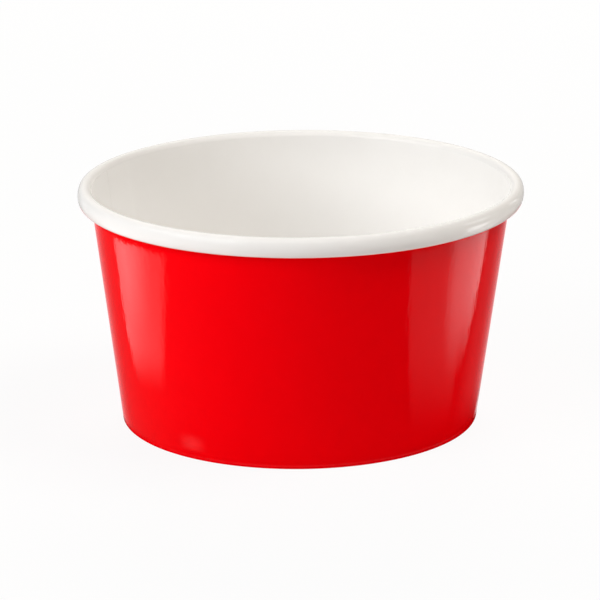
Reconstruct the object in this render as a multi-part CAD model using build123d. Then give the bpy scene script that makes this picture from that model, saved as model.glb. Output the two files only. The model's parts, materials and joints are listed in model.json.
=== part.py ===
from build123d import *
import os
from math import acos, asin, atan2, ceil, copysign, cos, degrees, hypot, pi, sin, tan

# Paper ice cream cup: a conical side wall wrapped from one printed board, rolled outwards at the rim
# and hemmed inwards at the foot, with a recessed base whose skirt is sealed inside the hem.
# Millimetres, +Z up, origin at the centre of the foot, on the surface that the cup stands on.

# Overall sizes
rim_diameter = 96.0
cup_height = 52.3
foot_diameter = 76.8

# Round bends are drawn as chords that stay this close to their arc, which keeps the faces few
chord_height = 0.085

# Side wall board, its roll and its hem
board = 0.35
roll_top_radius = 1.6
roll_height = 4.2
roll_tuck_clearance = 0.08
roll_tuck_length = 1.3
hem_clearance = 0.5
hem_fold_radius = 0.06

# Side seam, where the two ends of the board overlap
lap_width = 8.0
lap_step = 0.22
seam_azimuth = 155.0

# Base
base_board = 0.30
base_height = 6.0
base_corner_radius = 0.6
seal_gap = 0.02

# The wall's outer face runs from the foot to a tangent of the roll's inner surface
rim_radius = rim_diameter / 2
foot_radius = foot_diameter / 2
roll_centre_run = rim_radius - roll_top_radius - foot_radius
roll_centre_rise = cup_height - roll_top_radius
taper = atan2(roll_centre_run, roll_centre_rise) - asin(
    (roll_top_radius - board) / hypot(roll_centre_run, roll_centre_rise)
)
up_wall = Vector(sin(taper), cos(taper))
out_of_wall = Vector(cos(taper), -sin(taper))
across_wall = 1 / cos(taper)

# The roll closes with a smaller arc that leaves room for the seam between its tuck and the wall
roll_tuck_gap = lap_step + roll_tuck_clearance
roll_foot_radius = (
    (rim_radius - foot_radius) * cos(taper) - (cup_height - roll_height) * sin(taper) - roll_tuck_gap
) / (1 + cos(taper) + sin(taper))
roll_side = roll_height - roll_top_radius - roll_foot_radius

# The hem stands inside the wall by the skirt and its two sealed faces, and ends under the base's corner
hem_gap = base_board + 2 * seal_gap
hem_height = base_height - base_board - base_corner_radius - hem_clearance


def wall_radius(height, depth):
    """Radius of the side wall at a height, with depth counted from its white inner face."""
    return foot_radius + height * tan(taper) - (board - depth) * across_wall


def hem_radius(height, depth):
    """Radius of the hem at a height, with depth counted from the face that meets the skirt."""
    return wall_radius(height, 0) - (hem_gap + depth) * across_wall


def bend(start, heading, radius, turn):
    """Chord ends of a round bend that leaves a start along a heading; a left turn is positive, in degrees."""
    chord_angle = 2 * degrees(acos(max(-1, 1 - chord_height / radius)))
    chords = ceil(abs(turn) / chord_angle)
    centre = start + heading.rotate(Axis.Z, copysign(90, turn)) * radius
    return [centre + (start - centre).rotate(Axis.Z, turn * i / chords) for i in range(1, chords + 1)]


def hem_path(depth):
    """One face of the hem and its fold, from the hem's top edge to the foot of the wall."""
    fold = hem_fold_radius + depth
    floor_height = board - depth
    hem_end = floor_height + fold * (1 + sin(taper))
    wall_start = floor_height + fold * (1 - sin(taper))
    hem_top = Vector(hem_radius(hem_height, depth), hem_height)
    hem_foot = Vector(hem_radius(hem_end, depth), hem_end)
    wall_corner = Vector(wall_radius(wall_start, depth) - fold * cos(taper), floor_height)
    inner_bend = bend(hem_foot, -up_wall, fold, 90 + degrees(taper))
    outer_bend = bend(wall_corner, Vector(1, 0), fold, 90 - degrees(taper))
    return [hem_top, hem_foot, *inner_bend, wall_corner, *outer_bend]


def roll_path(start, depth):
    """One face of the wall and its roll, from a start on the wall to the end tucked inside the roll."""
    top_radius = roll_top_radius - depth
    foot_bend_radius = roll_foot_radius - depth
    roll_centre = Vector(rim_radius - roll_top_radius, cup_height - roll_top_radius)
    roll_start = roll_centre - out_of_wall * top_radius
    over = bend(roll_start, up_wall, top_radius, degrees(taper) - 90)
    down = bend(over[-1], Vector(1, 0), top_radius, -90)
    side_end = down[-1] - Vector(0, roll_side)
    under = bend(side_end, Vector(0, -1), foot_bend_radius, -90)
    back = bend(under[-1], Vector(-1, 0), foot_bend_radius, -90 - degrees(taper))
    tuck_end = back[-1] + up_wall * roll_tuck_length
    return [start, roll_start, *over, *down, side_end, *under, *back, tuck_end]


def board_section(upper_face, lower_face):
    """Closed section between the two faces of a board, given as points that run the same way."""
    return Plane.XZ * make_face(Polyline(*upper_face, *reversed(lower_face), close=True))


def wall_section():
    """Section of the whole side wall: hem, fold, wall and roll."""
    faces = []
    for depth in (0, board):
        hem = hem_path(depth)
        faces.append(hem[:-1] + roll_path(hem[-1], depth))
    return board_section(*faces)


def lap_section():
    """Section of the second layer at the seam, sunk half a board into the wall that carries it."""
    start_height = board + hem_fold_radius
    faces = []
    for depth in (board / 2, board + lap_step):
        start = Vector(wall_radius(start_height, depth), start_height)
        faces.append(roll_path(start, depth))
    return board_section(*faces)


def make_side_wall():
    """The wrapped board: a full turn of the wall section, and the lap as a short turn at the seam."""
    wall = revolve(wall_section(), Axis.Z)
    lap_angle = degrees(lap_width / wall_radius(cup_height / 2, board))
    lap = revolve(lap_section(), Axis.Z, revolution_arc=lap_angle)
    return wall + Rot(0, 0, seam_azimuth - lap_angle / 2) * lap


def base_path(depth):
    """One face of the base, from the axis over the corner and down the skirt."""
    skirt_depth = -seal_gap - depth
    top = base_height - depth
    skirt_end = board + hem_fold_radius + seal_gap
    corner_radius = base_corner_radius + base_board - depth
    corner_run = corner_radius / tan((pi / 2 - taper) / 2)
    corner = Vector(wall_radius(top, skirt_depth) - corner_run, top)
    skirt_foot = Vector(wall_radius(skirt_end, skirt_depth), skirt_end)
    corner_bend = bend(corner, Vector(1, 0), corner_radius, -90 - degrees(taper))
    return [Vector(0, top), corner, *corner_bend, skirt_foot]


def make_base():
    """The recessed disc with its skirt turned down along the inside of the wall."""
    return revolve(board_section(base_path(0), base_path(base_board)), Axis.Z)


os.makedirs("parts", exist_ok=True)
export_step(make_side_wall(), "parts/side_wall.step")
export_step(make_base(), "parts/base.step")
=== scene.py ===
import json
import math

import bpy
import numpy as np
from mathutils import Matrix, Vector


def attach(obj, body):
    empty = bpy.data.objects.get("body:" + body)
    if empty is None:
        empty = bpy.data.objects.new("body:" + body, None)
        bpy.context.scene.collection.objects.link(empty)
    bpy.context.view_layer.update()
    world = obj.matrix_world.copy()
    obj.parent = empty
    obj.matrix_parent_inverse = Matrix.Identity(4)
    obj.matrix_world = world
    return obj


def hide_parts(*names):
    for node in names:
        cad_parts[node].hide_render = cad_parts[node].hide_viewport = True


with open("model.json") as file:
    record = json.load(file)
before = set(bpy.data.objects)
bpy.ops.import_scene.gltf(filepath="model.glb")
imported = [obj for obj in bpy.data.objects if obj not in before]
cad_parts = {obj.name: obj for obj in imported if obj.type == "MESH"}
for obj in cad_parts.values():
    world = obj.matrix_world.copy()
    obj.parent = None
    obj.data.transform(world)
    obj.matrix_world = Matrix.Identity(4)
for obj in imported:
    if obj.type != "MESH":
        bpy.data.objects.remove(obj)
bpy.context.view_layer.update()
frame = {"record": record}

bl_info = {
    "name": "Paper Ice Cream Cup",
    "version": (1, 0, 0),
    "blender": (4, 5, 0),
    "location": "View3D > Sidebar > Paper Cup",
    "description": "Builds the two boards of a paper ice cream cup and a plain studio around them",
    "category": "Add Mesh",
}

MM = 0.001
LID_RIM = next(mount for mount in frame["record"]["mounts"] if mount["name"] == "lid_rim")
WHITE = (1, 1, 1)

# Fineness of the meshes
WALL_COLUMNS = 360
BASE_COLUMNS = 240
CONTACT_COLUMNS = 120
CARD_FACES = 32
SHARP_TURN = math.radians(38)

# Material slots of a board
FIRST_FACE, SECOND_FACE, CUT_EDGE = range(3)

# Side seam: half the width of its upright cut, and the width of its soft ramp
SEAM_CUT = 0.01 * MM
SEAM_RAMP = 1.6 * MM
SEAM_RAMP_STEPS = 8

# Blends along the side wall's section, in stations
FOOT_BLEND = 4
ROLL_BLEND = 3

# Grooves round the hem
HEM_GROOVES = 90

# Waves of the waver: share, count round the cup and phase, and the share that the roll's height takes
ROLL_WAVES = ((0.5, 3, 0.4), (0.3, 7, 2.1), (0.2, 17, 1.3))
WALL_WAVES = ((0.6, 5, 1.0), (0.4, 11, 0.2))
ROLL_RISE = 0.4

# Stage, in metres
FLOOR_HALF = 3.0
LAMP_DISTANCE = 1.45
LAMP_SIZE = 0.8
CARD_LEVEL = 0.4 * MM
CARD_GAP = 0.05 * MM
CONTACT_LEVEL = 0.05 * MM
CONTACT_INSIDE = 2.0 * MM
CONTACT_OUTSIDE = 0.7 * MM
SWEEP_LEVEL = 0.3 * MM
SWEEP_HALF = 0.8
SWEEP_NEAR = 0.07
SWEEP_FAR = 0.45
SWEEP_TOP = 0.5


# Properties

def length(name, description, default):
    """A size in metres."""
    return bpy.props.FloatProperty(
        name=name, description=description, default=default, precision=5, subtype="DISTANCE", unit="LENGTH"
    )


def turn(name, description, default):
    """An angle, stored in radians."""
    return bpy.props.FloatProperty(
        name=name, description=description, default=math.radians(default), subtype="ANGLE", unit="ROTATION"
    )


def colour(name, description, default):
    """A linear colour."""
    return bpy.props.FloatVectorProperty(
        name=name, description=description, default=default, size=3, min=0, max=1, subtype="COLOR"
    )


def level(name, description, default):
    """A plain number, such as a roughness or a light level, where 1 is white."""
    return bpy.props.FloatProperty(name=name, description=description, default=default, min=0)


class CupSizes(bpy.types.PropertyGroup):
    """Sizes of the two boards, of which the rim's radius and the height come from the frame."""

    rim_radius: length("Rim radius", "Radius over the rolled rim", LID_RIM["dims"]["r_mm"] * MM)
    cup_height: length("Height", "Height from the foot to the top of the rim", LID_RIM["pos_m"][2])
    foot_radius: length("Foot radius", "Radius where the wall's outer face meets the table", 38.65 * MM)
    board: length("Wall board", "Thickness of the side wall's board", 0.35 * MM)
    roll_top_radius: length("Roll top", "Radius of the rim's upper bend", 1.4 * MM)
    roll_side_turn: turn("Roll side", "Half the turn of the roll's flatter side", 20.0)
    roll_height: length("Roll height", "Height of the rolled rim", 4.2 * MM)
    roll_foot_radius: length("Roll foot", "Radius of the rim's lower bend", 1.25 * MM)
    roll_tuck_length: length("Tuck length", "Straight end of the board inside the roll", 1.3 * MM)
    hem_height: length("Hem height", "Height of the folded hem inside the foot", 4.6 * MM)
    hem_fold_radius: length("Fold radius", "Inner radius of the fold at the foot", 0.06 * MM)
    lap_width: length("Lap width", "Overlap of the board's two ends at the side seam", 8.0 * MM)
    lap_step: length("Lap step", "Height of the outer end's edge above the wall", 0.22 * MM)
    inner_step: length("Inner step", "Height of the inner end's edge inside the cup", 0.05 * MM)
    seam_azimuth: turn("Seam", "Direction of the side seam, from the right and towards the back", 155.0)
    base_board: length("Base board", "Thickness of the base's board", 0.30 * MM)
    base_height: length("Base height", "Height of the base's upper face", 6.0 * MM)
    base_corner_radius: length("Base corner", "Inner radius of the bend into the skirt", 0.6 * MM)
    base_dish: length("Base dish", "Depth to which the base sags in the middle", 0.25 * MM)
    seal_gap: length("Seal gap", "Glue line between the boards", 0.02 * MM)
    knurl_depth: length("Knurl depth", "Depth of the grooves pressed into the hem", 0.07 * MM)
    roll_waver: length("Roll waver", "How far the roll strays from a true circle", 0.05 * MM)
    wall_waver: length("Wall waver", "How far the wall strays from a true cone", 0.03 * MM)
    lean: length("Lean", "How far the rim stands to the right of the foot", 0.59 * MM)


class CupFinishes(bpy.types.PropertyGroup):
    """Colours and gloss of the boards."""

    print_red: colour("Print", "Red of the printed outside", (0.94, 0.0002, 0.0036))
    print_deep: colour("Print, denser", "Red where the ink lies thicker", (0.91, 0.0001, 0.0028))
    coat_white: colour("Coating", "White of the inside and the rim", (0.87, 0.862, 0.848))
    coat_shade: colour("Coating, thinner", "White where the board shows through", (0.855, 0.845, 0.828))
    edge_cream: colour("Cut edge", "Board where it was cut", (0.78, 0.71, 0.60))
    edge_fibre: colour("Cut edge, fibre", "Darker fibres in the cut board", (0.62, 0.53, 0.42))
    base_white: colour("Base", "White of the base's upper side", (0.92, 0.91, 0.895))
    base_grey: colour("Base, underside", "Uncoated board under the base", (0.74, 0.72, 0.68))
    print_gloss: level("Print roughness", "Roughness of the varnished print", 0.05)
    varnish_index: level("Varnish index", "Refractive index of the thin varnish on the print", 1.25)
    coat_index: level("Coating index", "Refractive index of the thin white coating", 1.25)
    coat_gloss: level("Coating roughness", "Roughness of the coating on the wall", 0.45)
    rim_gloss: level("Rim roughness", "Roughness of the coating on the polished roll", 0.10)


class StudioLevels(bpy.types.PropertyGroup):
    """Camera and light."""

    camera_distance: length("Camera distance", "From the middle of the cup to the camera", 0.745)
    camera_elevation: turn("Camera elevation", "Angle of the view above the horizon", 16.3135)
    camera_pan: turn("Camera pan", "Turn of the view to the left", -0.0195)
    camera_tilt: turn("Camera tilt", "Turn of the view upwards", -0.0443)
    camera_roll: turn("Camera roll", "Turn of the camera about its view", 0.451)
    focal_pixels: level("Focal length", "Focal length in pixels of the square picture", 3427.0)
    picture_pixels: level("Picture", "Width of the square picture in pixels", 600.0)
    key: level("Key", "Level of the large soft light on the left of the camera", 0.555)
    side_key: level("Side key", "Level of the soft light farther to the left", 0.33)
    fill: level("Fill", "Level of the high soft light on the right", 0.73)
    back: level("Back", "Level of the soft light behind the cup", 0.76)
    fill_tint: colour("Fill tint", "Warm white of the light on the right and behind", (1.0, 0.95, 0.89))
    left_strip: level("Left strip", "Brightness of the card mirrored on the left of the wall", 1.55)
    left_glow: level("Left glow", "Brightness of the soft card over the left strip's top", 2.945)
    right_strip: level("Right strip", "Brightness of the card mirrored on the right of the wall", 2.3)
    right_panel: level("Right panel", "Brightness of the wide dim card on the right", 0.65)
    sheen: level("Side sheen", "Brightness of the faint cards at both sides", 0.26)
    edge_band: level("Edge bands", "Brightness of the cards mirrored along the cup's outline", 1.0)
    edge_tint: colour("Edge tint", "Tint of the light mirrored along the cup's outline", (1.0, 0.48, 0.49))
    foot_glint: level("Foot glint", "Brightness of the small card mirrored at the foot", 1.1)
    upper_streak: level("Upper streak", "Brightness of the narrow card mirrored high on the roll", 10.4)
    lower_streak: level("Lower streak", "Brightness of the card mirrored half way down the roll", 8.0)
    end_streak: level("End streak", "Brightness of the card mirrored at the roll's right end", 4.0)
    card_reach: length("Card reach", "Distance of the roll's cards from the roll", 0.1)
    # Painted shade: dark red of the gloss-only ring that stands in for the shade and red bounce at the foot
    painted_shade_tint: colour("Contact shade", "Colour of the dark ring round the foot", (0.25, 0, 0))
    sweep: level("Sweep", "Brightness of the grey card behind the cup, mirrored in the rim's outline", 0.45)
    floor_white: level("Floor", "Reflectance of the floor", 0.75)
    floor_lift: level("Floor lift", "Share of the floor's look that is plain white", 0.92)


# Shader expressions

class Value:
    """A socket that can be used in Python expressions: each operator adds its Math node."""

    def __init__(self, finish, socket):
        self.finish = finish
        self.socket = socket

    def math(self, operation, *terms):
        return self.finish.node("ShaderNodeMath", {"operation": operation}, dict(enumerate(terms)))

    def __add__(self, other):
        return self.math("ADD", self, other)

    def __radd__(self, other):
        return self.math("ADD", other, self)

    def __sub__(self, other):
        return self.math("SUBTRACT", self, other)

    def __rsub__(self, other):
        return self.math("SUBTRACT", other, self)

    def __mul__(self, other):
        return self.math("MULTIPLY", self, other)

    def __rmul__(self, other):
        return self.math("MULTIPLY", other, self)

    def larger(self, other):
        return self.math("MAXIMUM", self, other)


class Finish:
    """A node tree under construction, with the few nodes that the finishes share."""

    def __init__(self, tree):
        self.tree = tree
        tree.nodes.clear()

    def node(self, kind, settings=None, inputs=None, output=0):
        """Adds a node, makes its settings, sets or links its inputs, and returns one of its outputs."""
        made = self.tree.nodes.new(kind)
        for key, value in (settings or {}).items():
            setattr(made, key, value)
        for key, value in (inputs or {}).items():
            if isinstance(value, Value):
                self.tree.links.new(value.socket, made.inputs[key])
            else:
                made.inputs[key].default_value = value
        return Value(self, made.outputs[output]) if len(made.outputs) else None

    def cloud(self, size, detail, packing=(1, 1, 1)):
        """Noise from 0 to 1 on Object coordinates, with blotches of about a size in metres.

        Along an axis, a packing above 1 makes the blotches shorter, and one below 1 draws them out.
        """
        place = self.node("ShaderNodeTexCoord", output="Object")
        packed = self.node("ShaderNodeMapping", inputs={"Vector": place, "Scale": packing})
        return self.node(
            "ShaderNodeTexNoise",
            inputs={"Vector": packed, "Scale": 1 / size, "Detail": detail, "Roughness": 0.55},
        )

    def vary(self, middle, swing, noise):
        """A value that noise from 0 to 1 moves by half a swing to each side of its middle."""
        return middle + swing * (noise - 0.5)

    def blend(self, factor, first, second):
        """Mix of two colours, which are the node's sockets 6 and 7 and its output 2."""
        inputs = {0: factor, 6: (*first, 1), 7: (*second, 1)}
        return self.node("ShaderNodeMix", {"data_type": "RGBA"}, inputs, output=2)

    def ease(self, x, low, high):
        """0 below low, 1 above high, and a smooth rise between them."""
        return self.node(
            "ShaderNodeMapRange", {"interpolation_type": "SMOOTHSTEP"},
            {"Value": x, "From Min": low, "From Max": high},
        )

    def relief(self, height_mm):
        """Normal of a surface with this relief in millimetres."""
        return self.node("ShaderNodeBump", inputs={"Strength": 1.0, "Distance": MM, "Height": height_mm})

    def glow(self, tint, brightness):
        """Emission shader."""
        return self.node("ShaderNodeEmission", inputs={"Color": (*tint, 1), "Strength": brightness})

    def mix(self, factor, first, second):
        """Mix of two shaders."""
        return self.node("ShaderNodeMixShader", inputs={0: factor, 1: first, 2: second})

    def output(self, shader):
        """Puts a shader on the material's output."""
        self.node("ShaderNodeOutputMaterial", inputs={"Surface": shader})

    def surface(self, inputs):
        """Puts a Principled shader on the material's output."""
        self.output(self.node("ShaderNodeBsdfPrincipled", inputs=inputs))


def new_finish(name):
    """A material and the builder of its nodes."""
    material = bpy.data.materials.new(name)
    material.use_nodes = True
    return material, Finish(material.node_tree)


# Finishes

def printed_red(finishes):
    """Varnished red print: slightly uneven ink, and gloss with a faint peel, upright grain and slow bows."""
    material, f = new_finish("printed_red_varnish")
    ink = f.cloud(5 * MM, detail=3.0)
    peel = f.cloud(0.8 * MM, detail=0.0)
    grain = f.cloud(0.6 * MM, detail=0.0, packing=(1, 1, 0.15))
    bow = f.cloud(14 * MM, detail=0.0)
    f.surface({
        "Base Color": f.blend(ink, finishes.print_deep, finishes.print_red),
        "Roughness": f.vary(finishes.print_gloss, 0.02, peel),
        "IOR": finishes.varnish_index,
        "Normal": f.relief(0.003 * peel + 0.018 * grain + 0.05 * bow),
    })
    return material


def coated_white(finishes):
    """White coated board, slightly cloudy and bowed: satin with fibres on the wall, polished on the roll."""
    material, f = new_finish("coated_white_board")
    cloud = f.cloud(6 * MM, detail=3.0)
    fibre = f.cloud(0.5 * MM, detail=3.0, packing=(1, 1, 2.5))
    bow = f.cloud(6 * MM, detail=0.0)
    polish = f.node("ShaderNodeAttribute", {"attribute_name": "polish"}, output="Fac")
    gloss = finishes.coat_gloss + polish * (finishes.rim_gloss - finishes.coat_gloss)
    f.surface({
        "Base Color": f.blend(cloud, finishes.coat_shade, finishes.coat_white),
        "Roughness": f.vary(gloss, 0.08, fibre),
        "IOR": finishes.coat_index,
        "Normal": f.relief(0.004 * fibre * (1 - polish) + 0.01 * bow),
    })
    return material


def cut_edge(finishes):
    """Raw board at a cut: cream, with darker fibres that lie level."""
    material, f = new_finish("cut_board_edge")
    fibre = f.cloud(0.25 * MM, detail=3.0, packing=(1, 1, 4))
    f.surface({
        "Base Color": f.blend(fibre, finishes.edge_fibre, finishes.edge_cream),
        "Roughness": f.vary(0.85, 0.1, fibre),
        "Normal": f.relief(0.03 * fibre),
    })
    return material


def base_white(finishes):
    """Upper side of the base: coated board like the wall's inside, and a little whiter."""
    material, f = new_finish("coated_base_board")
    cloud = f.cloud(7 * MM, detail=3.0)
    fibre = f.cloud(0.5 * MM, detail=3.0, packing=(1, 2.5, 1))
    f.surface({
        "Base Color": f.blend(cloud, finishes.coat_shade, finishes.base_white),
        "Roughness": f.vary(finishes.coat_gloss, 0.08, fibre),
        "IOR": finishes.coat_index,
        "Normal": f.relief(0.006 * fibre + 0.03 * cloud),
    })
    return material


def base_underside(finishes):
    """Uncoated underside of the base: matt greyish board with visible fibres."""
    material, f = new_finish("uncoated_base_board")
    cloud = f.cloud(4 * MM, detail=4.0)
    fibre = f.cloud(0.35 * MM, detail=4.0, packing=(1, 3, 1))
    f.surface({
        "Base Color": f.blend(0.6 * cloud + 0.4 * fibre, finishes.base_grey, finishes.base_white),
        "Roughness": f.vary(0.8, 0.15, fibre),
        "Normal": f.relief(0.02 * fibre),
    })
    return material


# Board geometry

class BoardPath:
    """The first face of a board in section: stations of radius and height, and the directions through it.

    A straight run keeps its heading; a bend turns it about a centre at its radius, left for a positive turn.
    Through is always the heading turned right by a quarter, so the second face is place + depth * through.
    """

    def __init__(self, start, heading):
        self.place = np.array(start, float)
        self.heading = heading
        self.places = [self.place[None]]
        self.headings = [np.array([heading])]
        self.marks = {}

    def straight(self, run, steps):
        along = np.linspace(0, run, steps + 1)[1:, None]
        direction = np.array([math.cos(self.heading), math.sin(self.heading)])
        return self.extend(self.place + along * direction, np.full(steps, self.heading))

    def bend(self, radius, angle, steps):
        side = math.copysign(radius, angle)
        centre = self.place + side * np.array([-math.sin(self.heading), math.cos(self.heading)])
        headings = self.heading + np.linspace(0, angle, steps + 1)[1:]
        return self.extend(centre + side * np.stack([np.sin(headings), -np.cos(headings)], -1), headings)

    def extend(self, places, headings):
        self.places.append(places)
        self.headings.append(headings)
        self.place = places[-1]
        self.heading = headings[-1]
        return self

    def mark(self, name):
        """Names the station reached so far."""
        self.marks[name] = sum(len(p) for p in self.places) - 1
        return self

    def stations(self):
        places = np.concatenate(self.places)
        headings = np.concatenate(self.headings)
        return places, np.stack([np.sin(headings), -np.cos(headings)], -1)


def roll_side_radius(sizes):
    """Radius of the roll's flatter side, which joins its two bends at the roll's height."""
    sine = math.sin(sizes.roll_side_turn)
    return (sizes.roll_height - (sizes.roll_top_radius + sizes.roll_foot_radius) * (1 - sine)) / (2 * sine)


def roll_top_centre(sizes):
    """Radius at which the roll's upper bend has its centre, so that the flatter side reaches the rim."""
    bulge = (roll_side_radius(sizes) - sizes.roll_top_radius) * (1 - math.cos(sizes.roll_side_turn))
    return sizes.rim_radius - bulge - sizes.roll_top_radius


def wall_slope(sizes):
    """Taper of the wall, whose outer face is tangent to the inside of the roll's upper bend."""
    run = roll_top_centre(sizes) - sizes.foot_radius
    rise = sizes.cup_height - sizes.roll_top_radius
    return math.atan2(run, rise) - math.asin((sizes.roll_top_radius - sizes.board) / math.hypot(run, rise))


def inner_radius(sizes, height):
    """Radius of the wall's white face at a height."""
    taper = wall_slope(sizes)
    return sizes.foot_radius + height * math.tan(taper) - sizes.board / math.cos(taper)


def side_wall_path(sizes):
    """White face of the side wall's board: down the hem, round the fold, up the wall and round the roll."""
    taper = wall_slope(sizes)
    fold = sizes.hem_fold_radius
    hem_shift = (sizes.base_board + 2 * sizes.seal_gap) / math.cos(taper)
    hem_foot = sizes.board + fold * (1 + math.sin(taper))
    wall_foot = sizes.board + fold * (1 - math.sin(taper))
    fold_width = inner_radius(sizes, wall_foot) - inner_radius(sizes, hem_foot) + hem_shift
    roll_start = sizes.cup_height - sizes.roll_top_radius * (1 - math.sin(taper))
    side_turn = sizes.roll_side_turn
    hem_top = (inner_radius(sizes, sizes.hem_height) - hem_shift, sizes.hem_height)
    path = BoardPath(hem_top, -math.pi / 2 - taper)
    path.straight((sizes.hem_height - hem_foot) / math.cos(taper), steps=8).mark("hem_foot")
    path.bend(fold, math.pi / 2 + taper, steps=5)
    path.straight(fold_width - 2 * fold * math.cos(taper), steps=1)
    path.bend(fold, math.pi / 2 - taper, steps=5).mark("wall_foot")
    path.straight((roll_start - wall_foot) / math.cos(taper), steps=22).mark("roll_start")
    path.bend(sizes.roll_top_radius, taper + side_turn - math.pi, steps=20)
    path.bend(roll_side_radius(sizes), -2 * side_turn, steps=6)
    path.bend(sizes.roll_foot_radius, side_turn - math.pi - taper, steps=20)
    path.straight(sizes.roll_tuck_length, steps=2)
    return path


def base_path(sizes):
    """Upper face of the base's board: out from the axis, round the corner and down the skirt."""
    taper = wall_slope(sizes)
    corner = sizes.base_corner_radius + sizes.base_board
    corner_run = corner / math.tan((math.pi / 2 - taper) / 2)
    skirt_end = sizes.board + sizes.hem_fold_radius + sizes.seal_gap
    edge = inner_radius(sizes, sizes.base_height) - sizes.seal_gap / math.cos(taper)
    skirt = (sizes.base_height - skirt_end) / math.cos(taper) - corner_run
    path = BoardPath((0, sizes.base_height), 0)
    path.straight(edge - corner_run, steps=24).mark("disc_edge")
    path.bend(corner, -math.pi / 2 - taper, steps=10)
    path.straight(skirt, steps=6)
    return path


def smooth_step(low, high, x):
    """0 below low, 1 above high, and a smooth rise between them."""
    t = np.clip((x - low) / (high - low), 0, 1)
    return t * t * (3 - 2 * t)


def waves(angles, terms):
    """Sum of share * sin(count * angle + phase)."""
    return sum(share * np.sin(count * angles + phase) for share, count, phase in terms)


def seam_radius(sizes):
    """Radius that turns a length across the seam into an angle: the white face's, at half the height."""
    return inner_radius(sizes, sizes.cup_height / 2)


def seam_columns(sizes):
    """Angles of the columns round the cup, evenly and closer at the seam, and half the seam's angle."""
    reach = sizes.lap_width / 2 / seam_radius(sizes)
    even = np.arange(WALL_COLUMNS) * 2 * math.pi / WALL_COLUMNS
    cut = np.array([-2, 2]) * SEAM_CUT / seam_radius(sizes)
    ramp = np.linspace(0, SEAM_RAMP, SEAM_RAMP_STEPS + 1) / seam_radius(sizes)
    edges = np.concatenate([-reach + cut, reach + cut, reach + ramp, -reach - ramp])
    columns = np.concatenate([even, np.mod(sizes.seam_azimuth + edges, 2 * math.pi)])
    return np.unique(np.round(columns, 7)), reach


def from_seam(sizes, angles):
    """Angle from the seam's middle, from minus to plus half a turn."""
    return np.mod(angles - sizes.seam_azimuth + math.pi, 2 * math.pi) - math.pi


def ring_faces(columns, rows, first):
    """Quads of a grid that closes round its columns, with rows in order from the first one."""
    row = np.arange(rows - 1)[:, None] * columns
    column = np.arange(columns)[None]
    after = (column + 1) % columns
    quads = np.stack([row + column, row + after, row + columns + after, row + columns + column], -1)
    return first + quads.reshape(-1, 4)


def edge_faces(columns, row, second):
    """Quads across the board at a row, from its first face to the one whose points start at second."""
    column = np.arange(columns)
    after = (column + 1) % columns
    return np.stack([column, after, after + second, column + second], -1) + row * columns


def spin(radius, height, angles):
    """Points of a surface of revolution, from radius and height given at each row and column."""
    return np.stack([radius * np.cos(angles), radius * np.sin(angles), height], -1).reshape(-1, 3)


def leaning(sizes, height):
    """Shift to the right of a board that leans, at a height."""
    return sizes.lean * height / sizes.cup_height


def new_piece(name, points, faces, kinds, materials, node, sizes):
    """Leaning mesh object with a material slot for each face, which stands for a node of the frame."""
    points[:, 0] += leaning(sizes, points[:, 2])
    mesh = bpy.data.meshes.new(name)
    mesh.from_pydata(points.tolist(), [], faces)
    for material in materials:
        mesh.materials.append(material)
    mesh.polygons.foreach_set("material_index", np.asarray(kinds, np.int32))
    mesh.shade_smooth()
    mesh.set_sharp_from_angle(angle=SHARP_TURN)
    mesh.validate()
    piece = bpy.data.objects.new(name, mesh)
    bpy.context.scene.collection.objects.link(piece)
    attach(piece, "root")
    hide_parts(node)
    return piece


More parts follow.
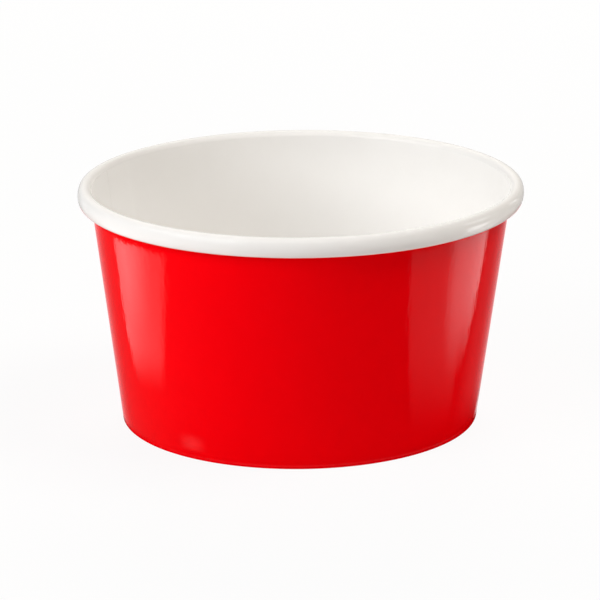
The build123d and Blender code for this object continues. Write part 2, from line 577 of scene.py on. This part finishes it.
def side_wall_piece(sizes, finishes):
    """The wrapped board: white face W(k) and printed face W(k) + depth(k, a) * through(k), turned about Z.

    Depth is the board, and at the seam the lap's step too, from the lap's cut edge to a soft ramp on the
    other side. The white face stands in by the inner step across the seam. The roll and the wall waver by a
    few sines of the angle. The hem's printed face carries grooves, a rectified sine of the angle that
    deepens from the hem's edge downwards.
    """
    path = side_wall_path(sizes)
    place, through = path.stations()
    wall_foot = path.marks["wall_foot"]
    roll_start = path.marks["roll_start"]
    rows = len(place)
    angles, reach = seam_columns(sizes)
    columns = len(angles)
    offset = from_seam(sizes, angles)
    station = np.arange(rows)[:, None]
    on_roll = smooth_step(roll_start - ROLL_BLEND, roll_start + ROLL_BLEND, station)
    on_wall = smooth_step(wall_foot, wall_foot + FOOT_BLEND, station)
    on_hem = station < path.marks["hem_foot"]
    ramp = SEAM_RAMP / seam_radius(sizes)
    cut = SEAM_CUT / seam_radius(sizes)
    lap = smooth_step(-reach - cut, -reach + cut, offset) * (1 - smooth_step(reach, reach + ramp, offset))
    inner = smooth_step(-reach - ramp, -reach, offset) * (1 - smooth_step(reach - cut, reach + cut, offset))
    roll_shift = sizes.roll_waver * waves(angles, ROLL_WAVES)
    wall_shift = sizes.wall_waver * waves(angles, WALL_WAVES)
    bulge = np.sin(np.linspace(0, math.pi, rows))[:, None]
    shift = on_roll * roll_shift + on_wall * (1 - on_roll) * bulge * wall_shift
    grooves = sizes.knurl_depth * on_hem * np.abs(np.sin(HEM_GROOVES / 2 * angles)) * bulge
    white_depth = -sizes.inner_step * inner * on_wall * (1 - on_roll)
    print_depth = sizes.board + sizes.lap_step * lap * on_wall - grooves
    points = []
    for depth in (white_depth, print_depth):
        radius = place[:, :1] + depth * through[:, :1] + shift
        height = place[:, 1:] + depth * through[:, 1:] + ROLL_RISE * on_roll * roll_shift[::-1]
        points.append(spin(radius, height, np.broadcast_to(angles, radius.shape)))
    second = rows * columns
    white = ring_faces(columns, rows, 0)
    printed = ring_faces(columns, rows, second)[:, ::-1]
    start_edge = edge_faces(columns, 0, second)[:, [0, 3, 2, 1]]
    end_edge = edge_faces(columns, rows - 1, second)
    faces = np.concatenate([white, printed, start_edge, end_edge])
    cut_column = int(np.argmin(np.abs(offset + reach + cut)))
    print_kind = np.full((rows - 1, columns), SECOND_FACE)
    print_kind[wall_foot + FOOT_BLEND:roll_start + ROLL_BLEND, cut_column] = CUT_EDGE
    edge_kind = np.full(2 * columns, CUT_EDGE)
    kinds = np.concatenate([np.full(len(white), FIRST_FACE), print_kind.reshape(-1), edge_kind])
    materials = [coated_white(finishes), printed_red(finishes), cut_edge(finishes)]
    piece = new_piece(
        "side_wall_board", np.concatenate(points), faces[:, ::-1].tolist(), kinds, materials,
        "side_wall", sizes,
    )
    polish = np.broadcast_to(on_roll, (rows, columns)).reshape(-1)
    attribute = piece.data.attributes.new("polish", "FLOAT", "POINT")
    attribute.data.foreach_set("value", np.tile(polish, 2).astype(np.float32))
    return piece


def base_piece(sizes, finishes):
    """The base: upper face U(k) and underside U(k) + board * through(k), turned about Z, with a pole each.

    The disc sags towards its middle by a parabola of the radius.
    """
    path = base_path(sizes)
    place, through = path.stations()
    disc = place[path.marks["disc_edge"], 0]
    place[:, 1] -= sizes.base_dish * np.clip(1 - (place[:, 0] / disc) ** 2, 0, 1)
    rows = len(place) - 1
    columns = BASE_COLUMNS
    angles = np.broadcast_to(np.arange(columns) * 2 * math.pi / columns, (rows, columns))
    points = []
    for depth in (0, sizes.base_board):
        face = place + depth * through
        radius = np.broadcast_to(face[1:, :1], angles.shape)
        height = np.broadcast_to(face[1:, 1:], angles.shape)
        points.append(spin(radius, height, angles))
        points.append(np.array([[0, 0, face[0, 1]]]))
    second = rows * columns + 1
    upper = ring_faces(columns, rows, 0)
    under = ring_faces(columns, rows, second)[:, ::-1]
    edge = edge_faces(columns, rows - 1, second)
    column = np.arange(columns)
    after = (column + 1) % columns
    upper_fan = np.stack([np.full(columns, rows * columns), after, column], -1)
    under_fan = np.stack([np.full(columns, second + rows * columns), column + second, after + second], -1)
    quads = np.concatenate([upper, under, edge])[:, ::-1].tolist()
    fans = np.concatenate([upper_fan, under_fan])[:, ::-1].tolist()
    counts = (len(upper), len(under), columns, columns, columns)
    kinds = np.repeat((FIRST_FACE, SECOND_FACE, CUT_EDGE, FIRST_FACE, SECOND_FACE), counts)
    materials = [base_white(finishes), base_underside(finishes), cut_edge(finishes)]
    return new_piece(
        "base_board", np.concatenate(points), quads + fans, kinds, materials, "base", sizes
    )


# Stage

def camera_place(studio, sizes):
    """Camera position and its right, up and backward axes, from the fit to the photograph's outlines."""
    middle = Vector((0, 0, sizes.cup_height / 2))
    elevation = studio.camera_elevation
    backward = Vector((0, -math.cos(elevation), math.sin(elevation)))
    place = middle + studio.camera_distance * backward
    axes = Matrix((Vector((1, 0, 0)), backward.cross(Vector((1, 0, 0))), backward)).transposed()
    axes = Matrix.Rotation(studio.camera_pan, 3, axes.col[1]) @ axes
    axes = Matrix.Rotation(studio.camera_tilt, 3, axes.col[0]) @ axes
    axes = Matrix.Rotation(studio.camera_roll, 3, -axes.col[2]) @ axes
    return place, axes


def add_camera(studio, sizes):
    """Camera at the photograph's viewing angle."""
    data = bpy.data.cameras.new("photo_camera")
    data.sensor_width = 36.0
    data.lens = data.sensor_width * studio.focal_pixels / studio.picture_pixels
    camera = bpy.data.objects.new("photo_camera", data)
    place, axes = camera_place(studio, sizes)
    camera.matrix_world = Matrix.Translation(place) @ axes.to_4x4()
    bpy.context.scene.collection.objects.link(camera)
    bpy.context.scene.camera = camera


def light_path(f):
    """1 for rays from the camera, from gloss and through glass, which all see the plain background."""
    rays = [f.node("ShaderNodeLightPath", output=name) for name in (
        "Is Camera Ray", "Is Glossy Ray", "Is Transmission Ray"
    )]
    return rays[0].larger(rays[1]).larger(rays[2])


def add_world():
    """Plain white background, which lights nothing but gloss."""
    world = bpy.data.worlds.new("white_studio")
    world.use_nodes = True
    bpy.context.scene.world = world
    f = Finish(world.node_tree)
    background = f.node("ShaderNodeBackground", inputs={"Color": (*WHITE, 1), "Strength": light_path(f)})
    f.node("ShaderNodeOutputWorld", inputs={"Surface": background})


def stage_mesh(name, points, faces, material):
    """Mesh for the stage, with one material."""
    mesh = bpy.data.meshes.new(name)
    mesh.from_pydata(points, [], faces)
    mesh.materials.append(material)
    return mesh


def add_floor(studio):
    """Pale floor: matt white that keeps the cup's shadow, lifted towards plain white where it is seen."""
    material, f = new_finish("studio_floor")
    shade = studio.floor_white
    matt = f.node("ShaderNodeBsdfDiffuse", inputs={"Color": (shade, shade, shade, 1)})
    f.output(f.mix(studio.floor_lift * light_path(f), matt, f.glow(WHITE, 1.0)))
    corners = [(x * FLOOR_HALF, y * FLOOR_HALF, 0) for x, y in ((-1, -1), (1, -1), (1, 1), (-1, 1))]
    mesh = stage_mesh("studio_floor", corners, [(0, 1, 2, 3)], material)
    floor = bpy.data.objects.new("studio_floor", mesh)
    bpy.context.scene.collection.objects.link(floor)


def add_lamp(name, lit, tint, azimuth, elevation, in_gloss, sizes):
    """Square soft light round the cup, with the level that it gives a white card facing it at the cup.

    That level is energy / (pi * distance) ** 2. The azimuth is counted from the front to the right, and both
    angles are in degrees.
    """
    side = math.radians(azimuth)
    rise = math.radians(elevation)
    direction = Vector((math.sin(side) * math.cos(rise), -math.cos(side) * math.cos(rise), math.sin(rise)))
    data = bpy.data.lights.new(name, "AREA")
    data.size = LAMP_SIZE
    data.color = tint
    data.energy = lit * (math.pi * LAMP_DISTANCE) ** 2
    lamp = bpy.data.objects.new(name, data)
    place = Vector((0, 0, sizes.cup_height / 2)) + LAMP_DISTANCE * direction
    lamp.matrix_world = Matrix.Translation(place) @ direction.to_track_quat("Z", "Y").to_matrix().to_4x4()
    lamp.visible_camera = False
    lamp.visible_glossy = in_gloss
    bpy.context.scene.collection.objects.link(lamp)


def add_lamps(studio, sizes):
    """Two keys on the left, a fill on the right that reaches the inside, and a light behind the cup.

    Gloss doesn't show the fill and the light behind, which would bleach the rim.
    """
    warm = studio.fill_tint
    add_lamp("key_softbox", studio.key, WHITE, azimuth=-50, elevation=25, in_gloss=True, sizes=sizes)
    add_lamp("side_key", studio.side_key, WHITE, azimuth=-75, elevation=28, in_gloss=True, sizes=sizes)
    add_lamp("high_fill", studio.fill, warm, azimuth=80, elevation=55, in_gloss=False, sizes=sizes)
    add_lamp("back_light", studio.back, warm, azimuth=180, elevation=25, in_gloss=False, sizes=sizes)


def wall_face(sizes, azimuth, height):
    """Points and normals of the wall's printed face, at azimuths counted from the front to the right."""
    taper = wall_slope(sizes)
    radius = sizes.foot_radius + height * math.tan(taper)
    sine, cosine = np.sin(azimuth), np.cos(azimuth)
    down = np.full_like(sine, -math.sin(taper))
    normal = np.stack([math.cos(taper) * sine, -math.cos(taper) * cosine, down], -1)
    return np.stack([radius * sine + leaning(sizes, height), -radius * cosine, height], -1), normal


def roll_face(sizes, azimuth, rise):
    """Points and normals of the roll's bends, where the normal rises by an angle above the level.

    Each of the three arcs is centre + radius * normal, and their centres lie on lines at the side's turn.
    """
    turn_sine, turn_cosine = math.sin(sizes.roll_side_turn), math.cos(sizes.roll_side_turn)
    radii = np.array([sizes.roll_foot_radius, roll_side_radius(sizes), sizes.roll_top_radius])
    side_out = sizes.rim_radius - radii[1]
    side_up = sizes.cup_height - radii[2] + (radii[2] - radii[1]) * turn_sine
    arc = (rise > -sizes.roll_side_turn).astype(int) + (rise > sizes.roll_side_turn)
    out = side_out + (radii[1] - radii[arc]) * turn_cosine + radii[arc] * np.cos(rise)
    up = side_up + (radii[1] - radii[arc]) * (arc - 1) * turn_sine + radii[arc] * np.sin(rise)
    sine, cosine = np.sin(azimuth), np.cos(azimuth)
    normal = np.stack([np.cos(rise) * sine, -np.cos(rise) * cosine, np.sin(rise)], -1)
    return np.stack([out * sine + leaning(sizes, up), -out * cosine, up], -1), normal


def mirrored(studio, sizes, point, normal):
    """Directions in which the camera's view v leaves a surface, v - 2 (v . n) n."""
    view = point - np.array(camera_place(studio, sizes)[0])
    view /= np.linalg.norm(view, axis=-1, keepdims=True)
    return view - 2 * np.sum(view * normal, -1, keepdims=True) * normal


def card_finish(card):
    """Plain glow that fades out over a share of the card's width at its sides and of its length at its ends.

    The four fades are multiplied, and mix the glow with clear air.
    """
    material, f = new_finish(card.name)
    place = f.node("ShaderNodeTexCoord", output="UV")
    across = f.node("ShaderNodeSeparateXYZ", inputs={0: place}, output="X")
    along = f.node("ShaderNodeSeparateXYZ", inputs={0: place}, output="Y")
    fade = f.ease(across, 0, card.side_blur[0]) * f.ease(1 - across, 0, card.side_blur[1])
    fade = fade * f.ease(along, 0, card.end_blur[0]) * f.ease(1 - along, 0, card.end_blur[1])
    clear = f.node("ShaderNodeBsdfTransparent")
    f.output(f.mix(fade, clear, f.glow(card.tint, card.brightness)))
    return material


def card_side(start, change=0, power=1):
    """One side of a card's image, start + change * v ** power, in degrees."""
    return start, change, power


class Card:
    """A card that only gloss shows, described by its mirror image on the cup.

    The image runs along v from 0 to 1. On the wall, v runs down from one height in mm to another, and the
    sides are azimuths in degrees from the front to the right. On the roll, v runs from one azimuth to
    another, and the sides are rises of the normal in degrees. The blurs are shares of its width and length.
    """

    def __init__(self, name, brightness, sides, span, side_blur, end_blur, tint=WHITE, on_roll=False):
        self.name = name
        self.brightness = brightness
        self.sides = sides
        self.span = span
        self.side_blur = side_blur
        self.end_blur = end_blur
        self.tint = tint
        self.on_roll = on_roll

    def points(self, studio, sizes, lift, across, along):
        """P + s * r: the image's points moved along the mirrored view, down to a lift or by the reach."""
        first, second = (start + change * along ** power for start, change, power in self.sides)
        side = np.radians(first + across * (second - first))
        run = self.span[0] + along * (self.span[1] - self.span[0])
        if self.on_roll:
            point, normal = roll_face(sizes, np.radians(run), side)
            return point + studio.card_reach * mirrored(studio, sizes, point, normal)
        point, normal = wall_face(sizes, side, run * MM)
        ray = mirrored(studio, sizes, point, normal)
        return point + ((lift - point[..., 2]) / ray[..., 2])[..., None] * ray

    def build(self, studio, sizes, lift):
        """A square grid of faces, with the image's place on the card as its UV map."""
        steps = np.linspace(0, 1, CARD_FACES + 1)
        across, along = np.meshgrid(steps, steps)
        points = self.points(studio, sizes, lift, across, along).reshape(-1, 3)
        row = CARD_FACES + 1
        corner = (np.arange(CARD_FACES)[:, None] * row + np.arange(CARD_FACES)).reshape(-1)
        faces = np.stack([corner, corner + 1, corner + row + 1, corner + row], -1)
        mesh = stage_mesh(self.name, points.tolist(), faces.tolist(), card_finish(self))
        spots = np.stack([across, along], -1).reshape(-1, 2)
        mesh.uv_layers.new(name="UVMap").data.foreach_set("uv", spots[faces.reshape(-1)].reshape(-1))
        gloss_only(self.name, mesh)


def gloss_only(name, mesh):
    """Part of the stage that the camera doesn't see, and that lights nothing but gloss."""
    card = bpy.data.objects.new(name, mesh)
    card.visible_camera = False
    card.visible_diffuse = False
    card.visible_shadow = False
    bpy.context.scene.collection.objects.link(card)


def glow_finish(name, tint, brightness):
    """Material with one even glow."""
    material, f = new_finish(name)
    f.output(f.glow(tint, brightness))
    return material


def add_painted_contact_shade(studio, sizes):
    """Painted shade: dark red ring round the foot, seen only in gloss, for the cup's shade and red bounce on
    the table.
    """
    angles = np.arange(CONTACT_COLUMNS) * 2 * math.pi / CONTACT_COLUMNS
    rings = np.array([sizes.foot_radius - CONTACT_INSIDE, sizes.foot_radius + CONTACT_OUTSIDE])[:, None]
    points = spin(*np.broadcast_arrays(rings, CONTACT_LEVEL, angles)).tolist()
    faces = ring_faces(CONTACT_COLUMNS, len(rings), 0).tolist()
    # Painted shade: an even dark red glow in place of the shaded, red-lit table at the foot
    material = glow_finish("contact_card", studio.painted_shade_tint, 1.0)
    gloss_only("contact_card", stage_mesh("contact_card", points, faces, material))


def add_sweep(studio):
    """Grey card that lies and stands behind the cup, so that the pale rim's outline differs from white."""
    section = ((SWEEP_NEAR, SWEEP_LEVEL), (SWEEP_FAR, SWEEP_LEVEL), (SWEEP_FAR, SWEEP_TOP))
    points = [(side * SWEEP_HALF, y, z) for y, z in section for side in (-1, 1)]
    faces = [(0, 1, 3, 2), (2, 3, 5, 4)]
    material = glow_finish("grey_sweep", WHITE, studio.sweep)
    gloss_only("grey_sweep", stage_mesh("grey_sweep", points, faces, material))


def add_cards(studio, sizes):
    """A dark card that keeps the print deep, and over it the bright cards that print and roll mirror."""
    edge = studio.edge_tint
    cards = (
        Card(
            "dark_card", 0.0, (card_side(-80), card_side(80)),
            span=(49.5, 0.5), side_blur=(0.03, 0.03), end_blur=(0.01, 0.01),
        ),
        Card(
            "left_sheen", studio.sheen, (card_side(-89), card_side(-15)),
            span=(47.5, 0.3), side_blur=(0.01, 0.5), end_blur=(0.01, 0.03), tint=edge,
        ),
        Card(
            "right_sheen", studio.sheen, (card_side(52), card_side(89)),
            span=(47.5, 0.5), side_blur=(0.35, 0.01), end_blur=(0.01, 0.25), tint=edge,
        ),
        Card(
            "left_edge", studio.edge_band, (card_side(-89), card_side(-66)),
            span=(47.5, 0.3), side_blur=(0.01, 0.8), end_blur=(0.01, 0.03), tint=edge,
        ),
        Card(
            "right_edge", studio.edge_band, (card_side(66), card_side(89)),
            span=(47.5, 0.5), side_blur=(0.8, 0.01), end_blur=(0.01, 0.25), tint=edge,
        ),
        Card(
            "right_panel", studio.right_panel, (card_side(29.5, 7, 1.6), card_side(55)),
            span=(46.7, 3), side_blur=(0.06, 0.15), end_blur=(0.01, 0.62),
        ),
        Card(
            "left_strip", studio.left_strip, (card_side(-61.8, 4.5, 4), card_side(-37.4, -7.0, 1.2)),
            span=(46.75, 13), side_blur=(0.05, 0.16), end_blur=(0.006, 0.36),
        ),
        Card(
            "left_glow", studio.left_glow, (card_side(-61.5, 1), card_side(-43, -4)),
            span=(46.75, 22), side_blur=(0.35, 0.5), end_blur=(0.006, 0.9),
        ),
        Card(
            "right_strip", studio.right_strip, (card_side(42.8, 7, 3), card_side(61.4, -6, 2.2)),
            span=(46.7, 14), side_blur=(0.3, 0.08), end_blur=(0.01, 0.68),
        ),
        Card(
            "foot_glint", studio.foot_glint, (card_side(-41.5), card_side(-29.5)),
            span=(6.3, 1.4), side_blur=(0.5, 0.5), end_blur=(0.5, 0.35),
        ),
        Card(
            "upper_streak", studio.upper_streak, (card_side(18.5, -3), card_side(23.5, -3.5)),
            span=(43.5, 54.2), side_blur=(0.25, 0.25), end_blur=(0.1, 0.04), on_roll=True,
        ),
        Card(
            "lower_streak", studio.lower_streak, (card_side(-9.5, 12.5, 3.5), card_side(4.5, -1.5)),
            span=(45.5, 55.2), side_blur=(0.08, 0.08), end_blur=(0.02, 0.04), on_roll=True,
        ),
        Card(
            "end_streak", studio.end_streak, (card_side(28, -12), card_side(40, -14)),
            span=(66.5, 73.0), side_blur=(0.3, 0.3), end_blur=(0.2, 0.2), on_roll=True,
        ),
    )
    for layer, card in enumerate(cards):
        card.build(studio, sizes, CARD_LEVEL + CARD_GAP * layer)


# Operators

class PAPER_CUP_OT_side_wall(bpy.types.Operator):
    """Build the side wall's board with its roll, hem and seam"""

    bl_idname = "paper_cup.side_wall"
    bl_label = "Side Wall"

    def execute(self, context):
        scene = context.scene
        side_wall_piece(scene.cup_sizes, scene.cup_finishes)
        return {"FINISHED"}


class PAPER_CUP_OT_base(bpy.types.Operator):
    """Build the base's board with its skirt"""

    bl_idname = "paper_cup.base"
    bl_label = "Base"

    def execute(self, context):
        scene = context.scene
        base_piece(scene.cup_sizes, scene.cup_finishes)
        return {"FINISHED"}


class PAPER_CUP_OT_stage(bpy.types.Operator):
    """Set up the camera, the floor and the lights"""

    bl_idname = "paper_cup.stage"
    bl_label = "Stage"

    def execute(self, context):
        scene = context.scene
        studio = scene.cup_studio
        scene.view_settings.view_transform = "Standard"
        add_camera(studio, scene.cup_sizes)
        add_world()
        add_floor(studio)
        add_lamps(studio, scene.cup_sizes)
        add_cards(studio, scene.cup_sizes)
        add_painted_contact_shade(studio, scene.cup_sizes)
        add_sweep(studio)
        return {"FINISHED"}


class PAPER_CUP_PT_panel(bpy.types.Panel):
    """The cup's sizes, finishes and build steps"""

    bl_idname = "PAPER_CUP_PT_panel"
    bl_label = "Paper Ice Cream Cup"
    bl_space_type = "VIEW_3D"
    bl_region_type = "UI"
    bl_category = "Paper Cup"

    def draw(self, context):
        layout = self.layout
        for operator in OPERATORS:
            layout.operator(operator.bl_idname)
        for group in (context.scene.cup_sizes, context.scene.cup_finishes, context.scene.cup_studio):
            box = layout.box()
            for name in group.bl_rna.properties.keys():
                if name not in ("rna_type", "name"):
                    box.prop(group, name)


OPERATORS = (PAPER_CUP_OT_side_wall, PAPER_CUP_OT_base, PAPER_CUP_OT_stage)
CLASSES = (CupSizes, CupFinishes, StudioLevels, *OPERATORS, PAPER_CUP_PT_panel)


def register():
    for each in CLASSES:
        bpy.utils.register_class(each)
    bpy.types.Scene.cup_sizes = bpy.props.PointerProperty(type=CupSizes)
    bpy.types.Scene.cup_finishes = bpy.props.PointerProperty(type=CupFinishes)
    bpy.types.Scene.cup_studio = bpy.props.PointerProperty(type=StudioLevels)


def unregister():
    del bpy.types.Scene.cup_studio
    del bpy.types.Scene.cup_finishes
    del bpy.types.Scene.cup_sizes
    for each in reversed(CLASSES):
        bpy.utils.unregister_class(each)


def main():
    register()
    bpy.ops.paper_cup.side_wall()
    bpy.ops.paper_cup.base()
    bpy.ops.paper_cup.stage()


if __name__ == "__main__":
    main()
